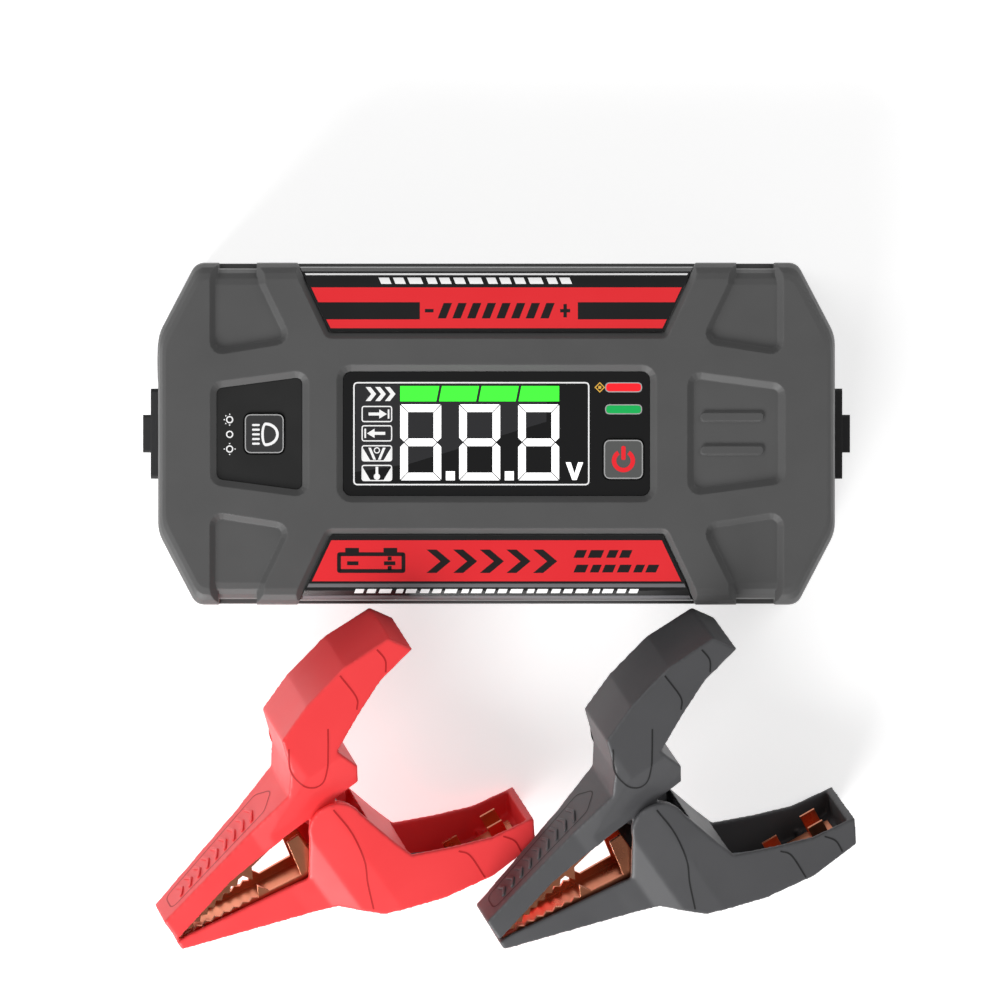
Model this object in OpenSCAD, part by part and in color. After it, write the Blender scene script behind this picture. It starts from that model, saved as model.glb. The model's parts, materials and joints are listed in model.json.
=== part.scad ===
// Jump starter pack with its two battery clamps. The pack lies on its back, face up,
// and each clamp leans on the pack's front long side. +X runs along the pack, +Z is up.
// The origin is the centre of the pack's back face.

/* [Pack case] */
// Length of the case between its two end faces
case_l = 203.4; // [198:0.2:210]
// Width of the case across its long sides
case_w = 102.8; // [100:0.2:106]
// Thickness of the case
case_t = 46; // [44:0.5:50]
// Height of the seam between the two shells
seam_z = 22.8; // [21:0.2:25]
// Wall of the two shells
wall = 3.4; // [3:0.1:4]
// Thickness of the face under its panels
face_wall = 4.6; // [4.4:0.1:5]
// Rounding along the long edges of the face
edge_r = 5; // [3:0.5:6]
// How far the face panels lie below the face
panel_depth = 1.6; // [1.2:0.1:2]

/* [Face panels] */
// Half length and half width of the display window
window_size = [46, 18.6]; // [10:0.1:60]
// Centre of the power button
power_xy = [38.1, -7.7]; // [-60:0.1:60]
// Centre of the light button
light_xy = [-69.7, 0]; // [-80:0.1:0]
// Side of both square buttons
button_side = 11.9; // [8:0.1:12.5]
// How far a button travels
button_travel = 0.6; // [0.3:0.1:0.8]
// How far the label plates lie below the case's skin
label_depth = 2; // [1.6:0.1:2.2]

/* [Ports] */
// Half width and half height of the opening in each end wall
bay_half = [12.2, 8.2]; // [8:0.1:14]
// Height of the middle of the two port bays
bay_z = 23; // [22:0.1:24]
// Radius of the jump socket's two contact bores
contact_r = 2.5; // [2:0.05:3]
// Distance between the jump socket's two contacts
contact_pitch = 10; // [9:0.1:12]

/* [Clamps] */
// Wall of the clamp covers
clamp_wall = 1.6; // [1.4:0.1:1.8]
// Half width of the clamp's handles
handle_half = 13.5; // [13:0.1:14]
// Radius of the clamp's pivot pin
pivot_r = 2.2; // [2:0.05:2.4]
// Lean of a clamp about its own length, in degrees
lean = 25; // [20:1:30]
// Direction in which the clamp's tip points, in degrees
tip_dir = 215; // [205:1:225]
// Place of the red clamp's pivot
red_xy = [-51, -114.5]; // [-120:0.5:120]
// Place of the black clamp's pivot
black_xy = [46, -114.5]; // [-120:0.5:120]

/* [Hidden] */
$fn = 48;
eps = 0.01;
layer_t = 0.2;
fit = 0.15;

// Case outline: ends straight to end_half, long sides straight to side_half
half_l = case_l / 2;
half_w = case_w / 2;
end_half = 29.6;
side_half = 90.3;
corner_run = [half_l - side_half, half_w - end_half];
corner_len = norm(corner_run);
corner_normal = [corner_run[1], corner_run[0]] / corner_len;
corner_dist = corner_normal[0] * half_l + corner_normal[1] * end_half;
corner_angle = atan2(corner_normal[1], corner_normal[0]);
end_round = 12;
side_round = 4;
end_fillet = 2.4;
back_r = 3;

// Heights of the layers under the face
panel_top = case_t - panel_depth;
window_t = 1.2;
window_z = panel_top - window_t;
face_under = case_t - face_wall;
board_top = 38.2;
board_t = 1.6;
flange_t = 1;
button_top = panel_top + 0.5;
switch_h = face_under - 0.5 - flange_t - button_travel - 0.1 - board_top;

window_r = 2.5;
panel_r = 1.8;
button_r = 2;
lcd_x = [-43.5, 28.4];
lcd_half_w = 16;
pipe_x = 38.15;
red_pipe_y = 13.9;
green_pipe_y = 7.3;
pipe_size = [10.6, 2.5];

// Screws and their bosses
screw_spots = [[-86, 37], [86, 37], [0, 44.6], [0, -44.6], [-86, -37], [86, -37]];
screw_r = 1.25;
boss_r = 3.2;

// Torch in the left end wall, beside the cover
torch_yz = [21.5, bay_z];
torch_r = 6;

// Ports: the jump socket's snout, and the outer size of each USB port
bay_floor = half_l - 2.4;
socket_size = [22, 12.6];
usb_a = [13.1, 5.7];
usb_c = [9, 3.2];
usb_a_y = -4.4;
usb_c_y = 7.2;
usb_z = 19.4;

// Hinges of the end covers
hinge_x = half_l + 1.4;
hinge_z = 12.4;
barrel_r = 1.1;
trunnion_r = 0.8;
cover_t = 2.2;
cover_half = 13.6;

red = "#FF4D4F";
black = "#4E4E50";
grey = "#575757";
copper = "#C27A5A";

// ---- Shapes shared by the pack's parts ----

// Arc of radius r in the corner at p, between walls whose normals point along n0 and n1
function corner_arc(p, r, n0, n1) =
    let (mid = (n0 + n1) / 2, c = p - r / cos((n1 - n0) / 2) * [cos(mid), sin(mid)])
    [for (i = [0:4]) let (a = n0 + (n1 - n0) * i / 4) c + r * [cos(a), sin(a)]];

// One corner of the case outline, moved in at the ends and at the long sides
function outline_corner(end_in, side_in) =
    let (x = half_l - end_in, y = half_w - side_in, reach = corner_dist - (end_in + side_in) / 2)
    concat(corner_arc([x, (reach - corner_normal[0] * x) / corner_normal[1]], end_round, 0, corner_angle),
           corner_arc([(reach - corner_normal[1] * y) / corner_normal[0], y], side_round, corner_angle, 90));

function backwards(list) = [for (i = [len(list) - 1:-1:0]) list[i]];
function mirrored(list, sx, sy) = [for (p = list) [sx * p[0], sy * p[1]]];

function outline(end_in, side_in) =
    let (q = outline_corner(end_in, side_in))
    concat(q, backwards(mirrored(q, -1, 1)), mirrored(q, -1, -1), backwards(mirrored(q, 1, -1)));

// Levels of the case from back to face: height, inset at the ends, inset at the long sides
function levels(skin) = concat(
    [for (a = [90, 45, 0]) let (in = skin + back_r * (1 - cos(a))) [skin + back_r * (1 - sin(a)), in, in]],
    [for (a = [0:22.5:90]) [case_t - skin - edge_r * (1 - sin(a)),
                            skin + end_fillet * (1 - cos(a)), skin + edge_r * (1 - cos(a))]]);

// Whole body of the case with rounded edges, moved in all round by skin
module case_body(skin) {
    rings = levels(skin);
    n = len(outline(0, 0));
    polyhedron(
        points = [for (ring = rings) for (p = outline(ring[1], ring[2])) [p[0], p[1], ring[0]]],
        faces = concat(
            [[for (i = [0:n - 1]) i], [for (i = [n - 1:-1:0]) (len(rings) - 1) * n + i]],
            [for (k = [0:len(rings) - 2], i = [0:n - 1]) let (j = (i + 1) % n)
                [k * n + i, (k + 1) * n + i, (k + 1) * n + j, k * n + j]]));
}

// Upright slab between two heights, larger than the case
module slab(z0, z1) {
    translate([-150, -100, z0]) cube([300, 200, z1 - z0]);
}

module rounded_square(size, r) {
    x = size[0] / 2 - r;
    y = size[1] / 2 - r;
    square([size[0], 2 * y], center = true);
    square([2 * x, size[1]], center = true);
    for (sx = [-1, 1], sy = [-1, 1]) translate([sx * x, sy * y]) circle(r);
}

// Upright block with rounded corners, centred on xy, between two heights
module rounded_block(xy, size, r, z0, z1) {
    translate([xy[0], xy[1], z0]) linear_extrude(z1 - z0) rounded_square(size, r);
}

// Pocket in the face whose walls slope from the outline low at its floor to high at the face
module sloping_pocket(low, high, depth) {
    over = 0.5;
    n = len(low);
    top = [for (i = [0:n - 1]) low[i] + (high[i] - low[i]) * (depth + over) / depth];
    polyhedron(
        points = concat([for (p = low) [p[0], p[1], case_t - depth]], [for (p = top) [p[0], p[1], case_t + over]]),
        faces = concat([[for (i = [0:n - 1]) i], [for (i = [n - 1:-1:0]) n + i]],
                       [for (i = [0:n - 1]) [i, n + i, n + (i + 1) % n, (i + 1) % n]]));
}

// Outward normal of the side that leads away from corner i of an anticlockwise outline
function side_normal(points, i) =
    let (run = points[(i + 1) % len(points)] - points[i]) [run[1], -run[0]] / norm(run);

// Outline moved outwards by d on every side
function grown(points, d) =
    [for (i = [0:len(points) - 1])
        let (n0 = side_normal(points, (i + len(points) - 1) % len(points)), n1 = side_normal(points, i))
        points[i] + d * (n0 + n1) / (1 + n0 * n1)];

// Anticlockwise outline with an arc of radius r at every corner but the inward ones
function rounded(points, r) =
    [for (i = [0:len(points) - 1])
        let (n0 = side_normal(points, (i + len(points) - 1) % len(points)), n1 = side_normal(points, i),
             turn = atan2(n0[0] * n1[1] - n0[1] * n1[0], n0 * n1), a = atan2(n0[1], n0[0]),
             c = points[i] - r * (n0 + n1) / (1 + n0 * n1))
        each turn < 0 ? [points[i]]
            : [for (k = [0:4]) let (b = a + turn * k / 4) c + r * [cos(b), sin(b)]]];

// Pocket in the face with rounded corners and an even slope all round
module bevelled_pocket(points, r, rise, depth) {
    sloping_pocket(rounded(points, r), rounded(grown(points, rise), r + rise), depth);
}

module mirrored_xy() {
    for (sx = [-1, 1], sy = [-1, 1]) mirror([sx < 0 ? 1 : 0, 0, 0]) mirror([0, sy < 0 ? 1 : 0, 0]) children();
}

// ---- Pack: recesses in the face ----

window_outline = [[-46.2, -18.8], [46.2, -18.8], [46.2, 18.8], [-46.2, 18.8]];
light_outline = [[-84, -13.6], [-58.3, -17], [-58.3, 17], [-84, 13.6]];
blank_outline = [[59.2, -16.6], [84.6, -13.2], [84.6, 13.2], [59.2, 16.6]];
label_outline = [[-50, 30.4], [50, 30.4], [63, 58], [-63, 58]];
corner_outline = [[72, 70], [72, 44.6], [64.6, 29.2], [83.6, 26.2], [83.6, 70]];
corner_depth = 1.7;

module label_recess() {
    intersection() {
        union() {
            bevelled_pocket(label_outline, 0.8, 1.9, label_depth);
            translate([0, 0, seam_z + 1]) linear_extrude(case_t) polygon(rounded(label_outline, 0.8));
        }
        difference() {
            translate([-80, 20, seam_z + 1]) cube([160, 60, case_t]);
            case_body(label_depth);
        }
    }
}

// Pocket near a corner of the face that runs out over the long edge
module corner_pocket() {
    difference() {
        union() {
            bevelled_pocket(corner_outline, 1.2, 2.5, corner_depth + 0.8);
            translate([72, 40, seam_z + 1]) cube([11.6, 20, case_t]);
        }
        case_body(corner_depth);
    }
}

module button_hole(xy, z0, z1) {
    rounded_block(xy, [button_side + 2 * fit, button_side + 2 * fit] + [0.3, 0.3], button_r + fit, z0, z1);
}

module pipe_hole(y, z0, z1) {
    rounded_block([pipe_x, y], pipe_size + [2 * fit, 2 * fit], pipe_size[1] / 2 + fit - eps, z0, z1);
}

// Recess for a cover's plug in the outside of an end wall
module bay_recess() {
    translate([bay_floor, -bay_half[0], bay_z - bay_half[1]]) cube([20, 2 * bay_half[0], 2 * bay_half[1]]);
}

// Block across an end wall, given its middle and its size along Y and Z
module wall_block(x0, x1, y, z, size_y, size_z) {
    translate([x0, y - size_y / 2, z - size_z / 2]) cube([x1 - x0, size_y, size_z]);
}

// Recesses in both ends, with the ports' own holes through what is left of the walls
module port_holes() {
    both_ends() bay_recess();
    wall_block(half_l - 6, half_l, 0, bay_z, socket_size[0] + 0.4, socket_size[1] + 0.4);
    wall_block(-half_l, -half_l + 6, usb_a_y, usb_z + usb_a[1] / 2, usb_a[0] + 0.4, usb_a[1] + 0.4);
    wall_block(-half_l, -half_l + 6, usb_c_y, usb_z + usb_c[1] / 2, usb_c[0] + 0.4, usb_c[1] + 0.4);
}

module torch_opening() {
    translate([-half_l - 1, torch_yz[0], torch_yz[1]]) rotate([0, 90, 0]) cylinder(h = wall + 2, r = torch_r + 0.05);
}

module both_ends() {
    children();
    mirror([1, 0, 0]) children();
}

// ---- Pack: shells ----

module front_shell() color(grey) {
    difference() {
        intersection() {
            case_body(0);
            slab(seam_z + 0.1, case_t + 1);
        }
        difference() {
            intersection() {
                case_body(wall);
                slab(0, face_under);
            }
            for (p = screw_spots) translate([p[0], p[1], seam_z]) cylinder(h = 20, r = boss_r);
        }
        for (p = screw_spots) translate([p[0], p[1], seam_z - 1]) cylinder(h = 12, r = screw_r + 0.05);
        mirrored_xy() corner_pocket();
        label_recess();
        mirror([0, 1, 0]) label_recess();
        bevelled_pocket(window_outline, window_r + 0.1, 1.8, panel_depth);
        rounded_block([0, 0], 2 * window_size + [0.2, 0.2], window_r, window_z, case_t);
        bevelled_pocket(light_outline, panel_r, 2, panel_depth);
        translate([0, 0, window_z]) linear_extrude(case_t) polygon(rounded(light_outline, panel_r));
        bevelled_pocket(blank_outline, panel_r, 2, panel_depth);
        rounded_block([(lcd_x[0] + lcd_x[1]) / 2, 0], [lcd_x[1] - lcd_x[0] + 0.4, 2 * lcd_half_w + 0.4], 0.2,
                      face_under - 1, case_t);
        for (xy = [power_xy, light_xy]) button_hole(xy, face_under - 1, case_t);
        for (y = [red_pipe_y, green_pipe_y]) pipe_hole(y, face_under - 1, case_t);
        port_holes();
        torch_opening();
    }
    for (y = [-5, 5]) rounded_block([70.7, y], [18.9, 2.6], 1.2, panel_top - 0.5, panel_top + 0.6);
}

// Knuckle beside a cover's hinge, with a bore for the cover's trunnion
module knuckle() {
    difference() {
        union() {
            translate([hinge_x, 9.2, hinge_z]) rotate([-90, 0, 0]) cylinder(h = 2.4, r = 1.2);
            translate([half_l - 1, 9.2, hinge_z - 1.2]) cube([hinge_x - half_l + 1, 2.4, 2.4]);
        }
        translate([hinge_x, 9, hinge_z]) rotate([-90, 0, 0]) cylinder(h = 3, r = trunnion_r + 0.05);
    }
}

module back_shell() color(grey) {
    difference() {
        intersection() {
            case_body(0);
            slab(-1, seam_z - 0.1);
        }
        difference() {
            intersection() {
                case_body(wall);
                slab(0, case_t);
            }
            for (p = screw_spots) translate([p[0], p[1], 0]) cylinder(h = seam_z - 0.1, r = boss_r + 0.4);
        }
        for (p = screw_spots) translate([p[0], p[1], -1]) {
            cylinder(h = 7, r = 2.6);
            cylinder(h = seam_z + 2, r = screw_r + 0.15);
        }
        port_holes();
        torch_opening();
    }
    both_ends() for (s = [0, 1]) mirror([0, s, 0]) knuckle();
}

// ---- Pack: face pieces ----

// Plate that follows the face and bends over its long edge
module label_plate() {
    intersection() {
        translate([0, 0, seam_z + 1.4]) linear_extrude(case_t)
            polygon(rounded(grown(label_outline, -0.2), 0.6));
        difference() {
            case_body(label_depth - 0.8);
            case_body(label_depth);
        }
    }
}

module top_label_plate() color("#1C1C1E") label_plate();
module bottom_label_plate() color("#FF383E") mirror([0, 1, 0]) label_plate();

module display_window() color("#171717") {
    difference() {
        rounded_block([0, 0], 2 * window_size, window_r, window_z, panel_top);
        button_hole(power_xy, window_z - 1, case_t);
        for (y = [red_pipe_y, green_pipe_y]) pipe_hole(y, window_z - 1, case_t);
    }
}

module light_panel() color("#232323") {
    difference() {
        translate([0, 0, window_z]) linear_extrude(window_t)
            polygon(rounded(grown(light_outline, -0.1), panel_r - 0.1));
        button_hole(light_xy, window_z - 1, case_t);
    }
}

module lcd_module() color("#20262A") {
    translate([lcd_x[0], -lcd_half_w, board_top]) cube([lcd_x[1] - lcd_x[0], 2 * lcd_half_w, window_z - board_top]);
}

module display_board() color("#1F5B36") {
    translate([-80, -22, board_top - board_t]) cube([132, 44, board_t]);
}

module light_pipe(y) {
    rounded_block([pipe_x, y], pipe_size, pipe_size[1] / 2 - eps, board_top, panel_top + 0.1);
}

module red_light_pipe() color("#ED1C24") light_pipe(red_pipe_y);
module green_light_pipe() color("#16A550") light_pipe(green_pipe_y);

// Button cap with a flange that stops it under the face
module button(xy) {
    flange_top = face_under - 0.3;
    rounded_block(xy, [button_side, button_side], button_r, flange_top - flange_t, button_top);
    rounded_block(xy, [button_side, button_side] + [2.4, 2.4], button_r, flange_top - flange_t, flange_top);
}

module tact_switch(xy) {
    translate([xy[0] - 3, xy[1] - 3, board_top]) cube([6, 6, switch_h - 0.4]);
    translate([xy[0], xy[1], board_top]) cylinder(h = switch_h, r = 1.7);
}

module power_button() color("#5F605F") button(power_xy);
module light_button() color("#2E2E2E") button(light_xy);
module power_switch() color("#C8C8C8") tact_switch(power_xy);
module light_switch() color("#C8C8C8") tact_switch(light_xy);

// ---- Pack: inside ----

cell_size = [118, 40, 9.6];
cell_x0 = -76;
cell_z0 = 6.2;
tray_z0 = wall + 0.6;

// One pouch cell with its folded side seams and two tabs
module pouch_cell() {
    translate([0, 1.2, 0]) cube([cell_size[0], cell_size[1] - 2.4, cell_size[2]]);
    translate([1, 0, 3.8]) cube([cell_size[0] - 2, cell_size[1], 1.6]);
    for (y = [10, 30]) translate([cell_size[0], y - 4, 4.4]) cube([5, 8, 0.4]);
}

module each_cell() {
    for (row = [-1, 1], layer = [0, 1])
        translate([cell_x0, row * 20.6 - cell_size[1] / 2, cell_z0 + layer * (cell_size[2] + 1.2)]) children();
}

module battery_cells() color("#9A9CA2") each_cell() pouch_cell();

// Nickel straps that join the tabs of the two layers
module cell_straps() color("#B9B4A6") {
    for (row = [-1, 1], tab = [10, 30])
        translate([cell_x0 + cell_size[0] + 5.1, row * 20.6 + tab - 24, cell_z0 + 4.2])
            cube([0.5, 8, cell_size[2] + 2]);
}

module foam_pads() color("#33343A") {
    for (row = [-1, 1]) translate([cell_x0 + 4, row * 20.6 - 17, cell_z0 + cell_size[2] + 0.1])
        cube([cell_size[0] - 8, 34, 1]);
}

module cell_tray() color("#3C3D40") {
    difference() {
        translate([cell_x0 - 2, -42.4, tray_z0]) cube([cell_size[0] + 10, 84.8, 10]);
        translate([cell_x0 - 0.4, -41, tray_z0 + 1.8]) cube([cell_size[0] + 6.8, 82, 10]);
        for (s = [-1, 1]) translate([0, s * 44.6, 0]) cylinder(h = 30, r = boss_r + 0.9);
    }
}

module main_board() color("#1F5B36") {
    difference() {
        translate([56, -33, 7]) cube([38, 66, 1.6]);
        for (y = [-29, 29]) translate([61, y, 0]) cylinder(h = 20, r = 1.5);
    }
    for (y = [-24, -12, 12, 24]) translate([58, y - 3, 8.6]) cube([9, 6, 2.2]);
    translate([72, 16, 8.6]) cylinder(h = 10, r = 4);
    translate([72, -16, 8.6]) cylinder(h = 10, r = 4);
}

module power_relay() color("#2B3A66") {
    translate([58, -8, 11.2]) cube([18, 16, 15]);
}

module jump_socket() color("#2A56B8") {
    difference() {
        union() {
            wall_block(82, bay_floor + 0.3, 0, bay_z, socket_size[0], socket_size[1]);
            wall_block(half_l - wall - 1.6, half_l - wall - 0.2, 0, bay_z, socket_size[0] + 3, socket_size[1] + 3);
        }
        for (s = [-1, 1]) translate([80, s * contact_pitch / 2, bay_z]) rotate([0, 90, 0])
            cylinder(h = 30, r = contact_r + 0.62);
    }
}

module jump_contacts() color("#D8B25A") {
    for (s = [-1, 1]) translate([80, s * contact_pitch / 2, bay_z]) rotate([0, 90, 0]) difference() {
        cylinder(h = bay_floor + 0.3 - 80, r = contact_r + 0.6);
        translate([0, 0, 3]) cylinder(h = 30, r = contact_r);
    }
}

module usb_board() color("#1F5B36") {
    translate([-half_l + wall + 0.4, -16, usb_z - 1.7]) cube([19, 31, 1.6]);
}

// Metal shell of a port, open at its mouth, with its tongue inside
module port_can(size, y, depth, shell_t, tongue) {
    difference() {
        wall_block(-bay_floor - 0.2, -bay_floor + depth, y, usb_z + size[1] / 2, size[0], size[1]);
        wall_block(-bay_floor - 1, -bay_floor + depth - 0.6, y, usb_z + size[1] / 2,
                   size[0] - 2 * shell_t, size[1] - 2 * shell_t);
    }
    wall_block(-bay_floor + 0.8, -bay_floor + depth - 0.5, y, usb_z + tongue[2], tongue[0], tongue[1]);
}

module usb_a_port() color("#C9CBCF") port_can(usb_a, usb_a_y, 14, 0.35, [11.1, 1.8, 4.1]);
module usb_c_port() color("#C9CBCF") port_can(usb_c, usb_c_y, 8, 0.3, [6.7, 0.7, 1.6]);

// ---- Pack: end covers and torch ----

// Rubber cover at the +X end: outer pad, plug, pull tab, and a hinge barrel with trunnions
module end_cover() {
    low = hinge_z + 1.5;
    high = bay_z + bay_half[1] + 1.4;
    pad_x = half_l + 0.3;
    translate([pad_x, 0, 0]) rotate([90, 0, 90]) linear_extrude(cover_t)
        translate([0, (low + high) / 2]) rounded_square([2 * cover_half, high - low], 1.2);
    wall_block(half_l - 1.8, pad_x + eps, 0, bay_z - 0.4, 2 * bay_half[0] - 1.2, 2 * bay_half[1] - 2.6);
    translate([pad_x + cover_t - eps, 0, 0]) rotate([90, 0, 90]) linear_extrude(2.4)
        translate([0, high - 4]) rounded_square([11.4, 4.4], 0.8);
    translate([pad_x, -8.9, hinge_z]) cube([cover_t, 17.8, low - hinge_z + 1]);
    translate([hinge_x, -8.9, hinge_z]) rotate([-90, 0, 0]) cylinder(h = 17.8, r = barrel_r);
    translate([hinge_x, -11.4, hinge_z]) rotate([-90, 0, 0]) cylinder(h = 22.8, r = trunnion_r);
}

module socket_cover() color("#2E2E2E") end_cover();
module usb_cover() color("#2E2E2E") mirror([1, 0, 0]) end_cover();

// Places its children at the torch's mouth, with their own Z pointing into the pack
module at_torch() {
    translate([-half_l, torch_yz[0], torch_yz[1]]) rotate([0, 90, 0]) children();
}

module torch_bezel() color("#1D1D1F") at_torch() difference() {
    union() {
        translate([0, 0, -0.6]) cylinder(h = wall + 1.6, r = torch_r);
        translate([0, 0, wall + 0.35]) cylinder(h = 1.2, r = torch_r + 0.7);
    }
    translate([0, 0, -2]) cylinder(h = 12, r = torch_r - 1);
}

module torch_lens() color("#E8F1F5") at_torch() cylinder(h = 1.4, r = torch_r - 1.05);

module torch_reflector() color("#D9DCE0") at_torch() translate([0, 0, 1.45]) rotate_extrude()
    polygon([[2.2, 7], [2, 6.4], [3.6, 3.2], [4.4, 0], [torch_r - 1.05, 0], [4.3, 3.6], [3.2, 7]]);

module torch_board() color("#F2F2EE") at_torch() translate([0, 0, 8.5]) {
    cylinder(h = 1.4, r = 5.6);
    translate([-1.3, -1.3, -0.8]) cube([2.6, 2.6, 0.9]);
}

module case_screws() color("#8E9096") {
    for (p = screw_spots) translate([p[0], p[1], 6 - 2]) difference() {
        union() {
            cylinder(h = 2, r = 2.3);
            cylinder(h = seam_z - 4 + 9, r = screw_r);
        }
        translate([0, 0, -1]) cylinder(h = 2.2, r = 1.1);
    }
}

// ---- Clamps ----
// A clamp is drawn around its pivot: X towards the tip, Y towards the upper handle, Z across.

handle_low = 43;
clamp_z = handle_low * sin(lean) + handle_half * cos(lean);
ear_r = 8.6;
cheek_half = 10.4;

// Outer line of a handle, from its front corner to its end and back along its open rim
handle_line = [[3.4, -32.6], [-2.2, -34.9], [-14.2, -39.6], [-30.2, -handle_low], [-46.1, -42.3],
               [-50.1, -34.9], [-36.6, -32.3], [-25.5, -27.4], [-13.9, -21.5]];
lower_side = concat([[59.2, -3.4], [59.2, -6.2], [13.3, -22.5]], handle_line,
                    [[-11.8, -14.1], [-8.6, 0], [6.1, 6.1], [15.6, -9.4], [55, -3.4]]);
upper_side = concat([[58.7, -2.6], [58.7, 4.8], [36.9, 10.3], [5.9, 18.1], [1.1, 24.6]],
                    [for (i = [1:8]) [handle_line[i][0], -handle_line[i][1]]],
                    [[-16.2, 12.7], [-13.6, 7.8], [14.3, 6.5], [35.3, 3.9]]);

// Half widths along the clamp, and up the upper cover
lower_plan = [[-60, 12.8], [-2, handle_half], [8, 12.6], [15, 10.4], [22, 9.6], [59.3, 7]];
upper_plan = [[-60, 12.8], [-2, handle_half], [12, 11.4], [22, 9.6], [58.8, 7]];
upper_front = [[-20, cheek_half], [9.5, cheek_half], [20, handle_half], [60, handle_half]];
jaw_plan = [[9, 8.2], [22, 7.6], [57.4, 5.1]];

// Closed outline from half widths, narrowed on both sides by less
function both_sides(half, less) =
    concat([for (p = half) [p[0], p[1] - less]],
           backwards([for (p = half) [p[0], less - p[1]]]));

module side_prism(points) {
    linear_extrude(60, center = true) polygon(points);
}

module plan_prism(half, less) {
    rotate([90, 0, 0]) linear_extrude(200, center = true) polygon(both_sides(half, less));
}

module front_prism(half, less) {
    rotate([90, 0, 90]) linear_extrude(200, center = true) polygon(both_sides(half, less));
}

// Hollow behind a cover's outer wall: its outline moved inwards, and off both its ends
module side_hollow(points, way) {
    intersection() {
        translate([1.5, way * 1.8, 0]) side_prism(points);
        translate([-1.5, way * 1.8, 0]) side_prism(points);
    }
}

module place_clamp(xy) {
    translate([xy[0], xy[1], clamp_z]) rotate([0, 0, tip_dir]) rotate([180 - lean, 0, 0]) children();
}

module lower_cover() {
    difference() {
        intersection() {
            union() {
                side_prism(lower_side);
                cylinder(h = 60, r = ear_r, center = true);
            }
            plan_prism(lower_plan, 0);
        }
        intersection() {
            union() {
                side_hollow(lower_side, 1);
                cylinder(h = 60, r = ear_r + 1, center = true);
                intersection() {
                    translate([1.5, 1.8, 0]) side_prism(lower_side);
                    translate([0, -13, -20]) cube([30, 30, 40]);
                }
            }
            plan_prism(lower_plan, clamp_wall);
        }
        cylinder(h = 2 * handle_half - 1, r = pivot_r + 0.05, center = true);
    }
    for (u = [-34, -22]) intersection() {
        translate([u, -50, -20]) cube([1.2, 10.6, 40]);
        side_prism(lower_side);
        plan_prism(lower_plan, 0.5);
    }
}

module upper_cover() {
    difference() {
        union() {
            intersection() {
                side_prism(upper_side);
                plan_prism(upper_plan, 0);
                front_prism(upper_front, 0);
            }
            cylinder(h = 2 * cheek_half, r = ear_r - 0.6, center = true);
        }
        intersection() {
            union() {
                side_hollow(upper_side, -1);
                cylinder(h = 60, r = ear_r + 1, center = true);
            }
            plan_prism(upper_plan, clamp_wall);
            front_prism(upper_front, clamp_wall);
        }
        cylinder(h = 60, r = pivot_r + 0.05, center = true);
    }
}

// Row of teeth along a rim from the point start towards the pivot, pointing along way
function on_line(a, b, u) = a[1] + (b[1] - a[1]) * (u - a[0]) / (b[0] - a[0]);
function teeth(rim, start, way) =
    [for (i = [0:6]) for (k = [0:2])
        let (u = start - i * 3.1 - k * 1.45) [u, on_line(rim[0], rim[1], u) + (k == 1 ? way * 1.3 : 0)]];

lower_rim = [[56, -3.5], [17, -8]];
upper_rim = [[56, -2.4], [17, 5.6]];

// Folded copper strip with toothed edges, one large tooth, and raised ends by the pivot
lower_jaw_side = concat(
    [[57.4, -4.4], [57.4, -3.3]], teeth(lower_rim, 53.05, 0.7),
    [[31.4, -6.2], [29.6, -2.8], [27.6, -6.6], [17, -8], [14.6, 3.6], [10.6, 3.6], [10.6, -9], [16, -12]]);
upper_jaw_side = concat(
    [[57.1, 0.6], [57.1, -2.7]], teeth(upper_rim, 54.6, -1),
    [[31.4, 2.5], [29.6, -0.4], [27.6, 3.3], [17, 5.6], [17, 9.4], [36, 6.6]]);

module jaw_strip(points, way) {
    difference() {
        intersection() {
            side_prism(points);
            plan_prism(jaw_plan, 0);
        }
        intersection() {
            translate([0, way * 1, 0]) side_prism(points);
            plan_prism(jaw_plan, 1);
        }
        intersection() {
            translate([0, way * 4, 0]) side_prism(points);
            plan_prism(jaw_plan, 1);
        }
    }
}

module pivot_pin() {
    cylinder(h = 2 * handle_half - 1.2, r = pivot_r, center = true);
}

// Straight round wire between two points at height z
module wire(a, b, z) {
    run = b - a;
    translate([a[0], a[1], z]) rotate([0, 0, atan2(run[1], run[0])]) rotate([0, 90, 0])
        cylinder(h = norm(run), r = 0.6);
}

// Close-wound coil round the pin, with one leg to each handle
module spring() {
    coil_r = 4.5;
    pitch = 1.2;
    rotate_extrude() polygon(concat(
        [[pivot_r + 0.5, -3.5 * pitch], [pivot_r + 0.5, 3.5 * pitch]],
        [for (i = [0:6], k = [0:1]) [coil_r - k * 0.4, (3.5 - i - k) * pitch + k * pitch / 2]],
        [[coil_r, -3.5 * pitch]]));
    wire([-coil_r + 0.7, 0], [-7.5, -26], 3.4);
    wire([-7.5, -26], [-24, -36.3], 3.4);
    wire([-coil_r + 0.7, 0], [-4.5, 14], -3.4);
}

module lead_lug() {
    linear_extrude(9, center = true) polygon([[-43, -40.2], [-16, -37.4], [-16, -36.2], [-43, -39]]);
    for (u = [-41, -27], s = [-1, 1])
        translate([u, -39.4, s * 4.5 - 0.4]) rotate([0, 0, 6]) cube([5, 6.2, 0.8]);
}

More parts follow.
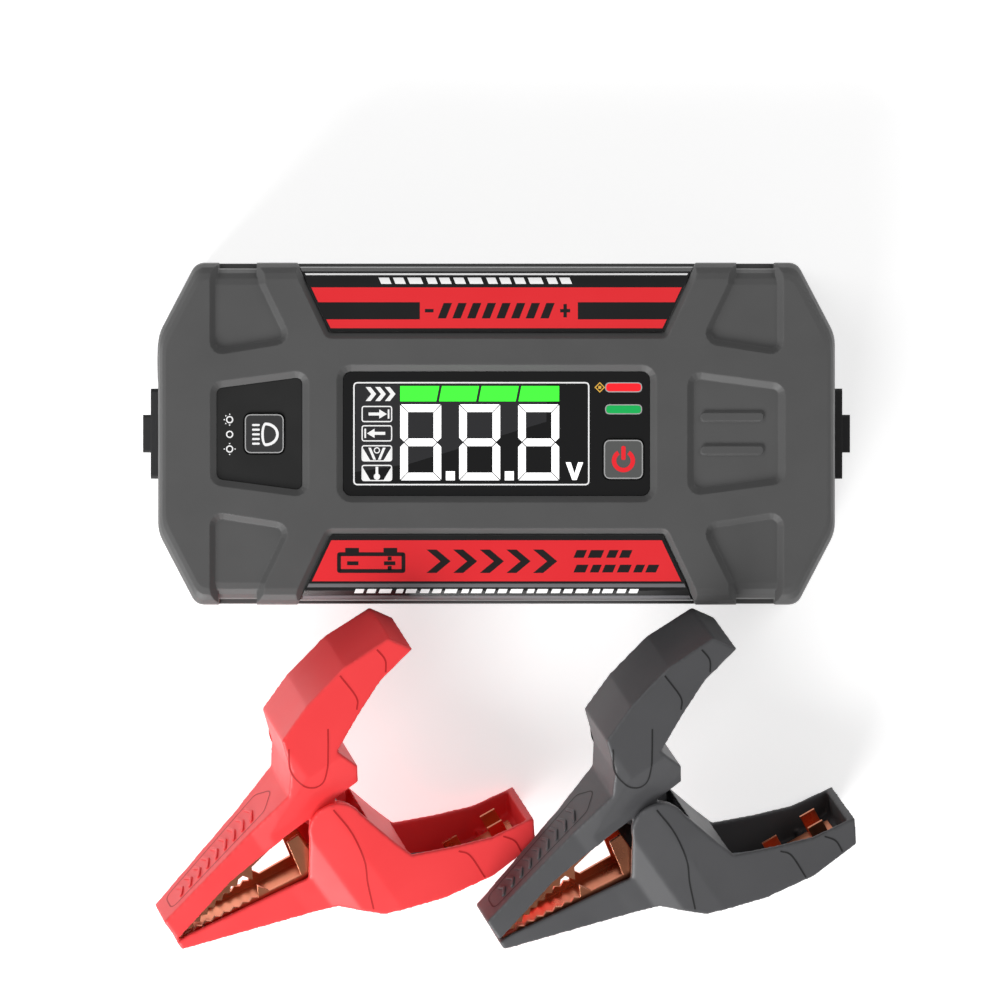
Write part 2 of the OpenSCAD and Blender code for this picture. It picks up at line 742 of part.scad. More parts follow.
module red_lower_cover() color(red) place_clamp(red_xy) lower_cover();
module red_upper_cover() color(red) place_clamp(red_xy) upper_cover();
module red_lower_jaw() color(copper) place_clamp(red_xy) jaw_strip(lower_jaw_side, 1);
module red_upper_jaw() color(copper) place_clamp(red_xy) jaw_strip(upper_jaw_side, -1);
module red_pivot_pin() color("#B8BABF") place_clamp(red_xy) pivot_pin();
module red_spring() color("#7B7D82") place_clamp(red_xy) spring();
module red_lead_lug() color(copper) place_clamp(red_xy) lead_lug();
module black_lower_cover() color(black) place_clamp(black_xy) lower_cover();
module black_upper_cover() color(black) place_clamp(black_xy) upper_cover();
module black_lower_jaw() color(copper) place_clamp(black_xy) jaw_strip(lower_jaw_side, 1);
module black_upper_jaw() color(copper) place_clamp(black_xy) jaw_strip(upper_jaw_side, -1);
module black_pivot_pin() color("#B8BABF") place_clamp(black_xy) pivot_pin();
module black_spring() color("#7B7D82") place_clamp(black_xy) spring();
module black_lead_lug() color(copper) place_clamp(black_xy) lead_lug();

front_shell();
back_shell();
top_label_plate();
bottom_label_plate();
display_window();
light_panel();
lcd_module();
display_board();
red_light_pipe();
green_light_pipe();
power_button();
light_button();
power_switch();
light_switch();
battery_cells();
cell_straps();
foam_pads();
cell_tray();
main_board();
power_relay();
jump_socket();
jump_contacts();
usb_board();
usb_a_port();
usb_c_port();
socket_cover();
usb_cover();
torch_bezel();
torch_lens();
torch_reflector();
torch_board();
case_screws();
red_lower_cover();
red_upper_cover();
red_lower_jaw();
red_upper_jaw();
red_pivot_pin();
red_spring();
red_lead_lug();
black_lower_cover();
black_upper_cover();
black_lower_jaw();
black_upper_jaw();
black_pivot_pin();
black_spring();
black_lead_lug();
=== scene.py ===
"""Looks for a jump starter pack and its two battery clamps, in metres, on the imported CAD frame."""
import json
import math

import bmesh
import bpy
from mathutils import Matrix, Vector


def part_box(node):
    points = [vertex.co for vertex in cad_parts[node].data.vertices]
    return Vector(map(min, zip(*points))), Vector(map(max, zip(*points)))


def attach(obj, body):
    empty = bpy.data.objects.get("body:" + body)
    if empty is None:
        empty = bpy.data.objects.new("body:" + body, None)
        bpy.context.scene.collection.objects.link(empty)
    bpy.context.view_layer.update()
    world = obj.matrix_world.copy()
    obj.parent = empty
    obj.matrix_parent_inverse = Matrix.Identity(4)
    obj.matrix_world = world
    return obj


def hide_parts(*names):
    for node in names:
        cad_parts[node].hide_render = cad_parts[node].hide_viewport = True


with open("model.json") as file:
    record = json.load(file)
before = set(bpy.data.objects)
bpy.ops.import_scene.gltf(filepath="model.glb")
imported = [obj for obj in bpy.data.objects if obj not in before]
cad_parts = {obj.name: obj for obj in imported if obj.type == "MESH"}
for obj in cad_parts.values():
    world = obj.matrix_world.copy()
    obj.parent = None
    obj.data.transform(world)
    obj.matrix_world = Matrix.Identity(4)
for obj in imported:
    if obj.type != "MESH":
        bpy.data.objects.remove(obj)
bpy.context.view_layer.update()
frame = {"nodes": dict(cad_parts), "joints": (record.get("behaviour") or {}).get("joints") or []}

MM = 0.001

# Levels and places worked out from the frame
PACK_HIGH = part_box("front_shell")[1]
FACE_Z = PACK_HIGH[2]
PANEL_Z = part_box("display_window")[1][2]
POWER_LOW, POWER_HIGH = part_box("power_button")
LIGHT_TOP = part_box("light_button")[1][2]
PLATE_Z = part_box("bottom_label_plate")[1][2]
HALF_W = PACK_HIGH[1]
PLATE_SKIN = FACE_Z - PLATE_Z
EDGE_R = 5 * MM
BUTTON_FLANGE = 1.2 * MM

# Heights of printed marks, painted highlights and a painted reflection above the surface they lie on
LIFT = 0.04 * MM
OVER_LIFT = LIFT * 1.6
PAINTED_REFLECTION_LIFT = LIFT * 0.4
RIM_LIFT = 0.12 * MM

# Clamps: direction of the tip, lean about the clamp's own length
TIP_DIR = math.radians(215)
LEAN = math.radians(25)


# ---- Materials ----

BROAD_SCALE = 60.0
WEAR_START, WEAR_FULL = 0.995, 0.9
BEVEL_SAMPLES = 4


def srgb(hex_code):
    """Linear colour from a #RRGGBB code."""
    out = []
    for i in (1, 3, 5):
        c = int(hex_code[i:i + 2], 16) / 255
        out.append(c / 12.92 if c <= 0.04045 else ((c + 0.055) / 1.055) ** 2.4)
    return (*out, 1.0)


def node(tree, kind, **values):
    n = tree.nodes.new(kind)
    for key, value in values.items():
        if key in n.inputs:
            n.inputs[key].default_value = value
        else:
            setattr(n, key, value)
    return n


def surface(name, colour, rough, *, metal=0.0, grain=0.00025, bump=0.1, vary=0.12, coat=0.0,
            rough_vary=0.12, edge=0.0, edge_r=0.0004, stretch=(1, 1, 1), emit=0.0,
            transmission=0.0):
    """Principled material with fine grain, uneven colour and roughness, and worn, rounded edges."""
    mat = bpy.data.materials.new(name)
    mat.use_nodes = True
    tree = mat.node_tree
    bsdf = tree.nodes["Principled BSDF"]
    link = tree.links.new
    coord = node(tree, "ShaderNodeTexCoord")
    mapping = node(tree, "ShaderNodeMapping", Scale=stretch)
    link(coord.outputs["Object"], mapping.inputs["Vector"])
    fine = node(tree, "ShaderNodeTexNoise", Scale=1 / grain, Detail=3.0, Roughness=0.6)
    broad = node(tree, "ShaderNodeTexNoise", Scale=BROAD_SCALE, Detail=4.0, Roughness=0.55)
    for noise in (fine, broad):
        link(mapping.outputs["Vector"], noise.inputs["Vector"])

    base = srgb(colour)
    ramp = node(tree, "ShaderNodeMixRGB")
    dark = [c * (1 - vary) for c in base[:3]]
    light = [min(1.0, c * (1 + vary)) for c in base[:3]]
    ramp.inputs["Color1"].default_value = (*dark, 1.0)
    ramp.inputs["Color2"].default_value = (*light, 1.0)
    link(broad.outputs["Fac"], ramp.inputs["Fac"])
    colour_out = ramp.outputs["Color"]

    # An edge is worn where the rounded normal turns away from the true one
    if edge > 0:
        soft = node(tree, "ShaderNodeBevel", samples=BEVEL_SAMPLES, Radius=edge_r * 1.6)
        geo = node(tree, "ShaderNodeNewGeometry")
        dot = node(tree, "ShaderNodeVectorMath", operation="DOT_PRODUCT")
        link(soft.outputs["Normal"], dot.inputs[0])
        link(geo.outputs["Normal"], dot.inputs[1])
        wear = node(tree, "ShaderNodeMapRange")
        wear.inputs["From Min"].default_value = WEAR_START
        wear.inputs["From Max"].default_value = WEAR_FULL
        wear.inputs["To Max"].default_value = edge
        link(dot.outputs["Value"], wear.inputs["Value"])
        patch = node(tree, "ShaderNodeMath", operation="MULTIPLY")
        link(wear.outputs["Result"], patch.inputs[0])
        link(broad.outputs["Fac"], patch.inputs[1])
        worn = node(tree, "ShaderNodeMixRGB")
        worn.inputs["Color2"].default_value = (*[min(1.0, c * 1.7 + 0.03) for c in base[:3]], 1.0)
        link(patch.outputs["Value"], worn.inputs["Fac"])
        link(colour_out, worn.inputs["Color1"])
        colour_out = worn.outputs["Color"]
    link(colour_out, bsdf.inputs["Base Color"])

    rough_map = node(tree, "ShaderNodeMapRange")
    rough_map.inputs["To Min"].default_value = max(0.02, rough - rough_vary)
    rough_map.inputs["To Max"].default_value = min(1.0, rough + rough_vary)
    link(broad.outputs["Fac"], rough_map.inputs["Value"])
    link(rough_map.outputs["Result"], bsdf.inputs["Roughness"])

    bump_node = node(tree, "ShaderNodeBump", Strength=bump, Distance=0.0001)
    link(fine.outputs["Fac"], bump_node.inputs["Height"])
    if edge_r > 0:
        rounded = node(tree, "ShaderNodeBevel", samples=BEVEL_SAMPLES, Radius=edge_r)
        link(rounded.outputs["Normal"], bump_node.inputs["Normal"])
    link(bump_node.outputs["Normal"], bsdf.inputs["Normal"])

    bsdf.inputs["Metallic"].default_value = metal
    bsdf.inputs["Coat Weight"].default_value = coat
    bsdf.inputs["Coat Roughness"].default_value = 0.08
    bsdf.inputs["Transmission Weight"].default_value = transmission
    if emit > 0:
        bsdf.inputs["Emission Color"].default_value = base
        bsdf.inputs["Emission Strength"].default_value = emit
    return mat


CASE = surface("case_plastic", "#5A5A5A", 0.5, grain=0.00022, bump=0.16, vary=0.05, edge=0.35,
               edge_r=0.0006)
BLACK_PRINT = surface("black_plate", "#1B1B1C", 0.3, bump=0.04, vary=0.06, coat=0.3, edge_r=0.0002)
RED_PRINT = surface("red_print", "#FF3038", 0.34, bump=0.04, vary=0.03, coat=0.2, edge_r=0)
GREY_PRINT = surface("grey_print", "#77777A", 0.42, bump=0.06, vary=0.05, edge_r=0)
INK_PRINT = surface("black_print", "#1C1718", 0.42, bump=0.05, vary=0.05, edge_r=0)
# Its glow is painted light: white print that shines a little, though print is no lamp
WHITE_PRINT_PAINTED_GLOW = surface("white_print_painted_glow", "#F2F2F2", 0.4, bump=0.03, vary=0.02, edge_r=0, emit=0.25)
WINDOW = surface("smoked_window", "#121213", 0.07, bump=0.004, vary=0.05, rough_vary=0.02,
                 coat=0.6, edge_r=0.0003)
LIGHT_PANEL = surface("light_panel_plastic", "#242424", 0.45, bump=0.1, vary=0.05, edge_r=0.0003)
LIT_WHITE = surface("lit_segment", "#FFFFFF", 0.3, bump=0.01, vary=0.01, edge_r=0, emit=0.85)
LIT_GREEN = surface("lit_green", "#3EFF37", 0.3, bump=0.01, vary=0.02, edge_r=0, emit=0.75)
# Painted reflection: a lighter grey laid on the window where a softbox would show in the glass
WINDOW_PAINTED_REFLECTION = surface("window_painted_reflection", "#343436", 0.1, bump=0.004, vary=0.03, rough_vary=0.02, edge_r=0)
# Its glow is painted light: the yellow warning print shines a little, though it is no lamp
YELLOW_PAINTED_GLOW = surface("yellow_mark_painted_glow", "#E3B14A", 0.35, bump=0.02, vary=0.04, edge_r=0, emit=0.2)
RED_PIPE = surface("red_indicator", "#F01E28", 0.2, bump=0.02, vary=0.04, coat=0.4, edge_r=0.0003,
                   emit=0.55)
GREEN_PIPE = surface("green_indicator", "#16A550", 0.2, bump=0.02, vary=0.04, coat=0.4,
                     edge_r=0.0003, emit=0.45)
POWER_CAP = surface("power_cap", "#606160", 0.45, bump=0.1, vary=0.04, edge=0.3, edge_r=0.0005)
LIGHT_CAP = surface("light_cap", "#3A3A3B", 0.45, bump=0.1, vary=0.04, edge=0.3, edge_r=0.0005)
SILVER_LINE = surface("silver_line", "#BDBDBD", 0.35, bump=0.02, vary=0.03, edge_r=0)
# Its glow is painted light: the red power sign shines a little, though it is no lamp
RED_MARK_PAINTED_GLOW = surface("red_mark_painted_glow", "#E0252E", 0.35, bump=0.02, vary=0.04, edge_r=0, emit=0.35)
RUBBER = surface("cover_rubber", "#303031", 0.72, grain=0.0003, bump=0.3, vary=0.1, edge=0.2,
                 edge_r=0.0005)
RED_COVER = surface("red_cover", "#FF4144", 0.42, grain=0.0003, bump=0.08, vary=0.05, edge_r=0.0005)
BLACK_COVER = surface("black_cover", "#505052", 0.44, grain=0.0003, bump=0.1, vary=0.06, edge=0.25,
                      edge_r=0.0005)
COPPER = surface("copper_plate", "#D98A68", 0.3, metal=1.0, grain=0.0005, bump=0.15, vary=0.22,
                 rough_vary=0.14, edge=0.5, edge_r=0.0003, stretch=(1, 1, 0.3))
BARE_STEEL = surface("bare_steel", "#B4B6BA", 0.28, metal=1.0, grain=0.0004, bump=0.08, vary=0.1,
                     stretch=(1, 1, 0.1))
SPRING_STEEL = surface("spring_steel", "#77797E", 0.3, metal=1.0, bump=0.1, vary=0.15)
BRASS = surface("gold_contact", "#D8B25A", 0.22, metal=1.0, bump=0.05, vary=0.1)
SOCKET_BLUE = surface("socket_blue", "#2450B4", 0.4, bump=0.1, vary=0.06, edge=0.2, edge_r=0.0003)
BOARD = surface("solder_mask", "#1F5B36", 0.32, bump=0.25, grain=0.0009, vary=0.25, edge_r=0.0002)
CELL = surface("pouch_laminate", "#9FA2A8", 0.35, metal=0.8, bump=0.5, grain=0.003, vary=0.1)
NICKEL = surface("nickel_strip", "#B9B4A6", 0.3, metal=1.0, bump=0.1, vary=0.1)
FOAM = surface("foam", "#2E2F34", 0.95, bump=0.8, grain=0.0006, vary=0.2, edge_r=0)
TRAY = surface("tray_plastic", "#3A3B3E", 0.55, bump=0.2, vary=0.08)
RELAY = surface("relay_case", "#26345C", 0.4, bump=0.1, vary=0.08)
DISPLAY_GLASS = surface("display_glass", "#15191B", 0.12, bump=0.01, vary=0.05, coat=0.5)
BEZEL = surface("torch_bezel", "#1C1C1E", 0.3, bump=0.05, vary=0.06, edge_r=0.0003)
LENS = surface("torch_lens", "#F2F7FA", 0.05, bump=0.01, vary=0.01, rough_vary=0.02,
               transmission=0.9, edge_r=0.0002)
MIRROR = surface("torch_reflector", "#E6E8EA", 0.08, metal=1.0, bump=0.02, vary=0.03,
                 rough_vary=0.03)
WHITE_BOARD = surface("white_board", "#F0EFE8", 0.4, bump=0.1, vary=0.04)

NODE_MATERIALS = {
    "front_shell": CASE, "back_shell": CASE, "top_label_plate": BLACK_PRINT,
    "bottom_label_plate": BLACK_PRINT, "display_window": WINDOW, "light_panel": LIGHT_PANEL,
    "lcd_module": DISPLAY_GLASS, "display_board": BOARD, "red_light_pipe": RED_PIPE,
    "green_light_pipe": GREEN_PIPE, "power_button": POWER_CAP, "light_button": LIGHT_CAP,
    "power_switch": BARE_STEEL, "light_switch": BARE_STEEL, "battery_cells": CELL,
    "cell_straps": NICKEL, "foam_pads": FOAM, "cell_tray": TRAY, "main_board": BOARD,
    "power_relay": RELAY, "jump_socket": SOCKET_BLUE, "jump_contacts": BRASS, "usb_board": BOARD,
    "usb_a_port": BARE_STEEL, "usb_c_port": BARE_STEEL, "socket_cover": RUBBER, "usb_cover": RUBBER,
    "torch_bezel": BEZEL, "torch_lens": LENS, "torch_reflector": MIRROR, "torch_board": WHITE_BOARD,
    "case_screws": BARE_STEEL,
}
CLAMP_MATERIALS = {"lower_jaw": COPPER, "upper_jaw": COPPER, "pivot_pin": BARE_STEEL,
                   "spring": SPRING_STEEL, "lead_lug": COPPER}


def paint(obj, mat):
    if not obj.material_slots:
        obj.data.materials.append(mat)
    for s in obj.material_slots:
        s.material = mat


for name, mat in NODE_MATERIALS.items():
    paint(frame["nodes"][name], mat)
for side in ("red", "black"):
    for part, mat in CLAMP_MATERIALS.items():
        paint(frame["nodes"][f"{side}_{part}"], mat)


# ---- Mesh helpers ----

MOULD_GRID = 0.00045
MOULD_PASSES = 5
# The pin's holes lie within this radius, in mm, and end this far from the clamp's middle
PIN_POCKET_R, PIN_SKIN_Z = 2.4, 11.6


def add_object(name, mesh, mat, body):
    """A new piece of the visual model, riding on a body and given a material."""
    obj = bpy.data.objects.new(name, mesh)
    bpy.context.scene.collection.objects.link(obj)
    mesh.materials.append(mat)
    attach(obj, body)
    return obj


def moulded(node_name, body, mat, pin_axes=None):
    """The CAD node's own shape with its edges melted round, standing in for the node.

    The skin over a blind hole for the pivot pin is hardly thicker than the grid, and would open.
    Where pin_axes, the clamp's own axes, are given, the ends of these holes are drawn inwards.
    """
    mesh = frame["nodes"][node_name].data.copy()
    mesh.materials.clear()
    obj = add_object(node_name + "_moulded", mesh, mat, body)
    if pin_axes is not None:
        to_local = pin_axes.inverted()
        for v in mesh.vertices:
            p = to_local @ v.co
            if math.hypot(p.x, p.y) < PIN_POCKET_R and abs(p.z) > PIN_SKIN_Z:
                v.co = pin_axes @ Vector((p.x, p.y, math.copysign(PIN_SKIN_Z, p.z)))
    remesh = obj.modifiers.new("grid", "REMESH")
    remesh.mode = "VOXEL"
    remesh.voxel_size = MOULD_GRID
    remesh.use_smooth_shade = True
    smooth = obj.modifiers.new("round_edges", "SMOOTH")
    smooth.factor = 0.5
    smooth.iterations = MOULD_PASSES
    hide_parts(node_name)


def finish_mesh(name, bm, mat, body, smooth=False):
    mesh = bpy.data.meshes.new(name)
    bm.to_mesh(mesh)
    bm.free()
    if smooth:
        for p in mesh.polygons:
            p.use_smooth = True
    add_object(name, mesh, mat, body)


def rounded_loop(points, radius, steps=6):
    """Closed outline with each corner rounded."""
    out = []
    n = len(points)
    for i, p in enumerate(points):
        p = Vector(p)
        a = Vector(points[i - 1]) - p
        b = Vector(points[(i + 1) % n]) - p
        turn = a.angle(b) / 2
        reach = min(radius / math.tan(turn), a.length * 0.48, b.length * 0.48)
        start, end = p + a.normalized() * reach, p + b.normalized() * reach
        for k in range(steps + 1):
            t = k / steps
            out.append(start * (1 - t) ** 2 + p * 2 * t * (1 - t) + end * t ** 2)
    return out


def rect(cx, cy, w, h, slant=0.0):
    """Four corners about a centre, with the top shifted one way and the foot the other."""
    return [(cx - w / 2 - slant, cy - h / 2), (cx + w / 2 - slant, cy - h / 2),
            (cx + w / 2 + slant, cy + h / 2), (cx - w / 2 + slant, cy + h / 2)]


def circle(cx, cy, r, n=32):
    return [(cx + r * math.cos(2 * math.pi * i / n), cy + r * math.sin(2 * math.pi * i / n))
            for i in range(n)]


def plate_z(y):
    """Height of a label plate's skin: flat, then over the case's rounded long edge."""
    inner = HALF_W - PLATE_SKIN - EDGE_R
    reach = abs(y) - inner
    if reach <= 0:
        return PLATE_Z
    return PLATE_Z - EDGE_R + math.sqrt(max(EDGE_R ** 2 - reach ** 2, 0.0))


def middle(node_name):
    """Centre of a CAD node's box seen from the front, in mm."""
    low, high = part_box(node_name)
    return (low[0] + high[0]) / 2 / MM, (low[1] + high[1]) / 2 / MM


PLATE_CUTS, PLATE_CUT_STEP = 13, 0.4 * MM


def print_marks(name, loops, mat, z=None, body="pack", lift=LIFT):
    """Printed marks, painted highlights and painted reflections: flat shapes in mm laid just above a
    surface at height z.

    A loop is a filled outline, or a pair of outlines with a band between them. Without z the
    marks follow a label plate, cut into strips over its rounded edge.
    """
    bm = bmesh.new()
    for loop in loops:
        if isinstance(loop, tuple):
            outer, inner = loop
            ring = [[bm.verts.new((p[0] * MM, p[1] * MM, 0)) for p in line]
                    for line in (outer, inner)]
            n = len(outer)
            for i in range(n):
                j = (i + 1) % n
                bm.faces.new((ring[0][i], ring[0][j], ring[1][j], ring[1][i]))
        else:
            bm.faces.new([bm.verts.new((p[0] * MM, p[1] * MM, 0)) for p in loop])
    if z is None:
        flat_to = HALF_W - PLATE_SKIN - EDGE_R
        for y in [s * (flat_to + k * PLATE_CUT_STEP) for s in (-1, 1) for k in range(PLATE_CUTS)]:
            bmesh.ops.bisect_plane(bm, geom=bm.verts[:] + bm.edges[:] + bm.faces[:],
                                   plane_co=(0, y, 0), plane_no=(0, 1, 0))
    bm.normal_update()
    for face in bm.faces:
        if face.normal.z < 0:
            face.normal_flip()
    for v in bm.verts:
        v.co.z = (plate_z(v.co.y) if z is None else z) + lift
    finish_mesh(name, bm, mat, body)


def outline_ring(points, width):
    """A line of even width inside a closed convex outline."""
    cx = sum(p[0] for p in points) / len(points)
    cy = sum(p[1] for p in points) / len(points)
    n = len(points)
    inner = []
    for i, p in enumerate(points):
        a, b = Vector(points[i - 1]), Vector(points[(i + 1) % n])
        side = (b - a).normalized()
        inward = Vector((-side.y, side.x))
        if inward.dot(Vector((cx - p[0], cy - p[1]))) < 0:
            inward = -inward
        inner.append((p[0] + inward.x * width, p[1] + inward.y * width))
    return [tuple(p) for p in points], inner


# ---- Display window ----

FRAME_LEFT, FRAME_RIGHT, FRAME_HALF = -43.0, 27.9, 15.5
DIGIT_W, DIGIT_H, STROKE, PITCH = 12.3, 22.8, 2.3, 17.7
DIGIT_LEFT, DIGIT_LOW = -28.9, -14.0
SEGMENT_GAP = 0.22
DOT = 2.7
BAR_LOW, BAR_HIGH = 9.7, 14.3
BARS = 4


def seven_segments(x, y, w, h, s):
    """The seven mitred strokes of one digit, of width s, from its lower left corner."""
    m, half = y + h / 2, s / 2
    g = SEGMENT_GAP
    return [
        [(x + g, y + h), (x + w - g, y + h), (x + w - s - g / 2, y + h - s),
         (x + s + g / 2, y + h - s)],
        [(x + g, y), (x + s + g / 2, y + s), (x + w - s - g / 2, y + s), (x + w - g, y)],
        [(x, y + h - g), (x + s, y + h - s - g), (x + s, m + half + g), (x + half, m + g),
         (x, m + half + g)],
        [(x, y + g), (x, m - half - g), (x + half, m - g), (x + s, m - half - g),
         (x + s, y + s + g)],
        [(x + w, y + h - g), (x + w, m + half + g), (x + w - half, m + g),
         (x + w - s, m + half + g), (x + w - s, y + h - s - g)],
        [(x + w, y + g), (x + w - s, y + s + g), (x + w - s, m - half - g), (x + w - half, m - g),
         (x + w, m - half - g)],
        [(x + half + g, m), (x + s + g, m + half), (x + w - s - g, m + half), (x + w - half - g, m),
         (x + w - s - g, m - half), (x + s + g, m - half)],
    ]


def painted_reflection_outline():
    """The lighter upper left part of the window: a painted reflection of a softbox."""
    return [(FRAME_LEFT + 0.7, -11.5), (-26.0, -9.0), (15.0, 3.6), (15.0, FRAME_HALF - 0.7),
            (FRAME_LEFT + 0.7, FRAME_HALF - 0.7)]


# Painted reflection over the upper left of the window
print_marks("window_painted_reflection", [painted_reflection_outline()], WINDOW_PAINTED_REFLECTION, z=PANEL_Z, lift=PAINTED_REFLECTION_LIFT)
digits = []
for i in range(3):
    digits += seven_segments(DIGIT_LEFT + i * PITCH, DIGIT_LOW, DIGIT_W, DIGIT_H, STROKE)
for i in range(2):
    digits.append(rect(DIGIT_LEFT + DIGIT_W + 2.75 + i * PITCH, DIGIT_LOW + 1.35, DOT, DOT))

# The V after the digits
VX, VY, VW, VH = 20.8, DIGIT_LOW + 0.1, 5.2, 5.3
digits.append([(VX, VY + VH), (VX + 1.5, VY + VH), (VX + VW / 2, VY + 1.9),
               (VX + VW - 1.5, VY + VH), (VX + VW, VY + VH), (VX + VW / 2 + 0.65, VY),
               (VX + VW / 2 - 0.65, VY)])
print_marks("display_digits", digits, LIT_WHITE, z=PANEL_Z)

# Charge bars over the digits, parted by slanting gaps
bars = []
bars_right = DIGIT_LEFT + 2 * PITCH + DIGIT_W
bar_w = (bars_right - DIGIT_LEFT) / BARS
for i in range(BARS):
    x0, x1 = DIGIT_LEFT + i * bar_w, DIGIT_LEFT + (i + 1) * bar_w
    low_x0 = x0 if i == 0 else x0 - 0.3
    top_x0 = x0 if i == 0 else x0 + 0.6
    low_x1 = x1 if i == BARS - 1 else x1 - 1.1
    top_x1 = x1 if i == BARS - 1 else x1 - 0.2
    bars.append([(low_x0, BAR_LOW), (low_x1, BAR_LOW), (top_x1, BAR_HIGH), (top_x0, BAR_HIGH)])
print_marks("display_bars", bars, LIT_GREEN, z=PANEL_Z)

frame_mid = (FRAME_LEFT + FRAME_RIGHT) / 2
frame_line = rounded_loop(rect(frame_mid, 0, FRAME_RIGHT - FRAME_LEFT, 2 * FRAME_HALF), 1.4)
print_marks("display_frame", [outline_ring(frame_line, 0.42)], WHITE_PRINT_PAINTED_GLOW, z=PANEL_Z)

# Status icons in a column: fast charge, in, out, clamps, temperature
ICON_X, ICON_W, ICON_H = -35.9, 9.2, 4.9
icon_rows = [11.9, 5.9, 0.1, -5.9, -11.8]


def icon_corner(y, s):
    """The filled lower corner of a status icon, at the side s."""
    return [(ICON_X + s * 4.2, y - 2.1), (ICON_X + s * 4.2, y + 1.6), (ICON_X + s * 2.0, y - 2.1)]


icons = []
for k in range(3):
    x = ICON_X - 3.4 + k * 2.9
    y = icon_rows[0]
    icons.append([(x, y - 2.1), (x + 1.5, y - 2.1), (x + 3.2, y), (x + 1.5, y + 2.1), (x, y + 2.1),
                  (x + 1.7, y)])
for y in icon_rows[1:]:
    icons.append(outline_ring(rounded_loop(rect(ICON_X, y, ICON_W, ICON_H), 0.9), 0.36))
for y, way in ((icon_rows[1], 1), (icon_rows[2], -1)):
    icons.append(rect(ICON_X - way * 0.8, y, 3.4, 0.9))
    icons.append([(ICON_X + way * 0.7, y - 1.4), (ICON_X + way * 3.0, y),
                  (ICON_X + way * 0.7, y + 1.4)])
    icons.append(rect(ICON_X + way * 3.5, y, 0.5, 2.8))
y = icon_rows[3]
for s in (-1, 1):
    icons.append([(ICON_X + s * 0.3, y - 1.9), (ICON_X + s * 1.1, y - 1.9),
                  (ICON_X + s * 2.6, y + 1.7), (ICON_X + s * 1.8, y + 1.7)])
    icons.append(icon_corner(y, s))
icons.append(outline_ring(circle(ICON_X, y + 0.9, 0.95, 20), 0.32))
y = icon_rows[4]
icons.append(rect(ICON_X, y + 0.6, 0.8, 2.6))
icons.append(circle(ICON_X, y - 1.1, 0.95, 20))
for s in (-1, 1):
    icons.append(icon_corner(y, s))
print_marks("display_icons", icons, WHITE_PRINT_PAINTED_GLOW, z=PANEL_Z)

pipe_x, pipe_y = middle("red_light_pipe")
green_y = middle("green_light_pipe")[1]
for tag, y in (("red", pipe_y), ("green", green_y)):
    line = rounded_loop(rect(pipe_x, y, 11.1, 3.0), 1.5)
    print_marks(f"{tag}_indicator_rim", [outline_ring(line, 0.3)], SILVER_LINE,
                z=PANEL_Z, lift=RIM_LIFT)
diamond = [(31.0, pipe_y - 1.6), (32.6, pipe_y), (31.0, pipe_y + 1.6), (29.4, pipe_y)]
print_marks("warning_diamond", [outline_ring(diamond, 0.45), rect(31.0, pipe_y, 0.9, 0.9)], YELLOW_PAINTED_GLOW,
            z=PANEL_Z)


# ---- Buttons and light panel ----

def arc_strips(cx, cy, r_in, r_out, start, end, n=36):
    """A band along an arc as a row of four-sided pieces, so that it stays flat and even."""
    angles = [math.radians(start + (end - start) * i / n) for i in range(n + 1)]
    outer = [(cx + r_out * math.cos(a), cy + r_out * math.sin(a)) for a in angles]
    inner = [(cx + r_in * math.cos(a), cy + r_in * math.sin(a)) for a in angles]
    return [[outer[i], outer[i + 1], inner[i + 1], inner[i]] for i in range(n)]


def cap_rim(button, x, y, top):
    """The printed line round a button's cap."""
    line = rounded_loop(rect(x, y, CAP_SIDE - 0.3, CAP_SIDE - 0.3), 1.9)
    print_marks(f"{button}_rim", [outline_ring(line, 0.3)], SILVER_LINE, z=top, body=button)


CAP_SIDE = (POWER_HIGH[0] - POWER_LOW[0] - 2 * BUTTON_FLANGE) / MM

power_x, power_y = middle("power_button")
cap_rim("power_button", power_x, power_y, POWER_HIGH[2])
power_sign = arc_strips(power_x, power_y - 0.4, 2.15, 3.5, 122, 418)
power_sign.append(rounded_loop(rect(power_x, power_y + 1.9, 1.35, 4.2), 0.6))
print_marks("power_sign", power_sign, RED_MARK_PAINTED_GLOW, z=POWER_HIGH[2],
            body="power_button")

light_x, light_y = middle("light_button")
cap_rim("light_button", light_x, light_y, LIGHT_TOP)
beam = [rounded_loop(rect(light_x - 2.5, light_y - 0.2 + k * 1.4, 2.3, 0.62), 0.3)
        for k in range(-2, 3)]
lamp_x, lamp_y = light_x + 0.45, light_y - 0.2
LAMP_STEPS = 28


def lamp_outline(left, right, half):
    """A headlamp's D: a shallow curve on the left and a deep one on the right."""
    out = []
    for i in range(LAMP_STEPS):
        a = math.radians(-90 + 360 * i / LAMP_STEPS)
        reach = right if math.cos(a) > 0 else left
        out.append((lamp_x + reach * math.cos(a), lamp_y + half * math.sin(a)))
    return out


beam.append((lamp_outline(1.35, 3.9, 3.55), lamp_outline(0.6, 3.1, 2.7)))
print_marks("light_button_sign", beam, WHITE_PRINT_PAINTED_GLOW, z=LIGHT_TOP,
            body="light_button")

# Signs for the lamp's three modes, each a ring with its own rays
modes = []
mode_x = light_x - 10.4
for k, rays in enumerate([(90, 135, 180, 225, 270), (), (0, 90, 180, 270)]):
    y = light_y + 4.2 - 4.4 * k
    modes.append((circle(mode_x, y, 1.1), circle(mode_x, y, 0.72)))
    for angle in rays:
        a = math.radians(angle)
        modes.append(circle(mode_x + 1.62 * math.cos(a), y + 1.62 * math.sin(a), 0.2, 12))
print_marks("light_mode_signs", modes, WHITE_PRINT_PAINTED_GLOW, z=PANEL_Z)


# ---- Label plates: bands and generic marks in place of lettering ----

DASH_FILL = 0.72


def band(y0, y1, half0, half1):
    """A trapezoid about the middle line, with its half width at each of its two levels."""
    return [(-half0, y0), (half0, y0), (half1, y1), (-half1, y1)]


